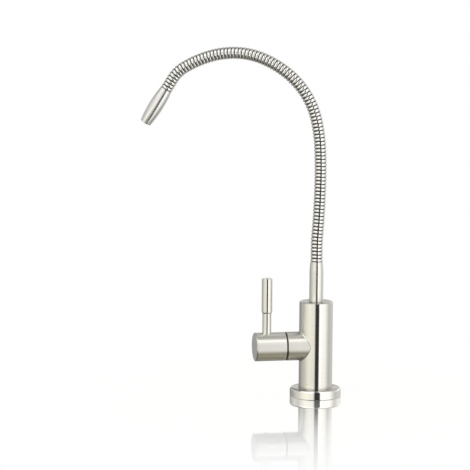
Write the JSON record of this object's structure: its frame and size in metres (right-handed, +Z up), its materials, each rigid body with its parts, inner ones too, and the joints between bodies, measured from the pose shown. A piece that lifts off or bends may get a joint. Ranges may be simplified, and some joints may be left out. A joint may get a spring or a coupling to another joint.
{
  "type": "drinking water filter tap",
  "caption": "Deck-mounted drinking water tap: column with side quarter-turn lever valve, swivelling stem, ribbed bendable gooseneck spout and tapered nozzle.",
  "frame": {"origin": "centre of the underside of the base gasket, on the worktop", "axes": "+Z up along the column, -X along the valve branch, -Y towards the user; the spout at rest points 25 degrees behind the branch, towards +Y"},
  "size_m": [0.1594, 0.0885, 0.3415],
  "materials": {
    "brushed_nickel": "satin, brushed round the turned parts",
    "gooseneck_steel": "polished rings with tarnished grooves",
    "plain_steel": "zinc plated",
    "brass": "machined",
    "black_rubber": "matt",
    "black_plastic": "matt",
    "white_plastic": "natural acetal",
    "white_ceramic": "lapped alumina ceramic",
    "clear_liner": "translucent silicone"
  },
  "bodies": {
    "tap": {"tap_body": "brushed_nickel", "base_flange": "brushed_nickel", "flange_gasket": "black_rubber", "shank": "plain_steel", "shank_seal": "black_rubber", "deck_washer": "black_rubber", "backing_washer": "plain_steel", "lock_washer": "plain_steel", "fixing_nut": "plain_steel", "seam_ring": "black_plastic", "cartridge_body": "brass", "cartridge_o_ring": "black_rubber", "seat_seal": "black_rubber", "fixed_disc": "white_ceramic", "retaining_ring": "white_plastic"},
    "handle": {"handle_hub": "brushed_nickel", "hub_grub_screw": "plain_steel", "lever_pin": "brushed_nickel", "spindle": "brass", "spindle_o_ring": "black_rubber", "moving_disc": "white_ceramic"},
    "spout": {"spout_ferrule": "brushed_nickel", "swivel_o_rings": "black_rubber", "gooseneck_link_01": "gooseneck_steel", "liner_tube_01": "clear_liner"},
    "hose_02": {"gooseneck_link_02": "gooseneck_steel", "liner_tube_02": "clear_liner"},
    "hose_03": {"gooseneck_link_03": "gooseneck_steel", "liner_tube_03": "clear_liner"},
    "hose_04": {"gooseneck_link_04": "gooseneck_steel", "liner_tube_04": "clear_liner"},
    "hose_05": {"gooseneck_link_05": "gooseneck_steel", "liner_tube_05": "clear_liner"},
    "hose_06": {"gooseneck_link_06": "gooseneck_steel", "liner_tube_06": "clear_liner"},
    "hose_07": {"gooseneck_link_07": "gooseneck_steel", "liner_tube_07": "clear_liner"},
    "hose_08": {"gooseneck_link_08": "gooseneck_steel", "liner_tube_08": "clear_liner"},
    "hose_09": {"gooseneck_link_09": "gooseneck_steel", "liner_tube_09": "clear_liner"},
    "hose_10": {"gooseneck_link_10": "gooseneck_steel", "liner_tube_10": "clear_liner"},
    "hose_11": {"gooseneck_link_11": "gooseneck_steel", "liner_tube_11": "clear_liner"},
    "hose_12": {"gooseneck_link_12": "gooseneck_steel", "liner_tube_12": "clear_liner", "nozzle": "brushed_nickel", "flow_insert": "white_plastic"}
  },
  "joints": [
    {"name": "handle_turn", "type": "hinge", "parent": "tap", "child": "handle", "pos_m": [-0.0417, 0, 0.0425], "axis": [1, 0, 0], "range_deg": [0, 90]},
    {"name": "spout_swivel", "type": "hinge", "parent": "tap", "child": "spout", "pos_m": [0, 0, 0.0795], "axis": [0, 0, 1], "continuous": true},
    {"name": "hose_bend_01", "type": "hinge", "parent": "spout", "child": "hose_02", "pos_m": [0.00045, -0.00021, 0.13637], "axis": [0.4226, 0.9063, 0], "range_deg": [-12, 12]},
    {"name": "hose_bend_02", "type": "hinge", "parent": "hose_02", "child": "hose_03", "pos_m": [0.0017, -0.00079, 0.15986], "axis": [0.4226, 0.9063, 0], "range_deg": [-12, 12]},
    {"name": "hose_bend_03", "type": "hinge", "parent": "hose_03", "child": "hose_04", "pos_m": [0.00224, -0.00104, 0.18339], "axis": [0.4226, 0.9063, 0], "range_deg": [-12, 12]},
    {"name": "hose_bend_04", "type": "hinge", "parent": "hose_04", "child": "hose_05", "pos_m": [0.00179, -0.00084, 0.20691], "axis": [0.4226, 0.9063, 0], "range_deg": [-12, 12]},
    {"name": "hose_bend_05", "type": "hinge", "parent": "hose_05", "child": "hose_06", "pos_m": [-0.00123, 0.00057, 0.23018], "axis": [0.4226, 0.9063, 0], "range_deg": [-6, 12]},
    {"name": "hose_bend_06", "type": "hinge", "parent": "hose_06", "child": "hose_07", "pos_m": [-0.00967, 0.00451, 0.25165], "axis": [0.4226, 0.9063, 0], "range_deg": [-6, 12]},
    {"name": "hose_bend_07", "type": "hinge", "parent": "hose_07", "child": "hose_08", "pos_m": [-0.02427, 0.01132, 0.26865], "axis": [0.4226, 0.9063, 0], "range_deg": [-6, 12]},
    {"name": "hose_bend_08", "type": "hinge", "parent": "hose_08", "child": "hose_09", "pos_m": [-0.0429, 0.02, 0.27996], "axis": [0.4226, 0.9063, 0], "range_deg": [-6, 12]},
    {"name": "hose_bend_09", "type": "hinge", "parent": "hose_09", "child": "hose_10", "pos_m": [-0.06376, 0.02973, 0.28418], "axis": [0.4226, 0.9063, 0], "range_deg": [-6, 12]},
    {"name": "hose_bend_10", "type": "hinge", "parent": "hose_10", "child": "hose_11", "pos_m": [-0.08476, 0.03952, 0.28061], "axis": [0.4226, 0.9063, 0], "range_deg": [-6, 12]},
    {"name": "hose_bend_11", "type": "hinge", "parent": "hose_11", "child": "hose_12", "pos_m": [-0.10413, 0.04856, 0.27092], "axis": [0.4226, 0.9063, 0], "range_deg": [-6, 12]}
  ],
  "couplings": [
    {"joint": "hose_bend_02", "follows": "hose_bend_01", "ratio": 1},
    {"joint": "hose_bend_03", "follows": "hose_bend_01", "ratio": 1},
    {"joint": "hose_bend_04", "follows": "hose_bend_01", "ratio": 1},
    {"joint": "hose_bend_06", "follows": "hose_bend_05", "ratio": 1},
    {"joint": "hose_bend_07", "follows": "hose_bend_05", "ratio": 1},
    {"joint": "hose_bend_08", "follows": "hose_bend_05", "ratio": 1},
    {"joint": "hose_bend_09", "follows": "hose_bend_05", "ratio": 1},
    {"joint": "hose_bend_10", "follows": "hose_bend_05", "ratio": 1},
    {"joint": "hose_bend_11", "follows": "hose_bend_05", "ratio": 1}
  ]
}
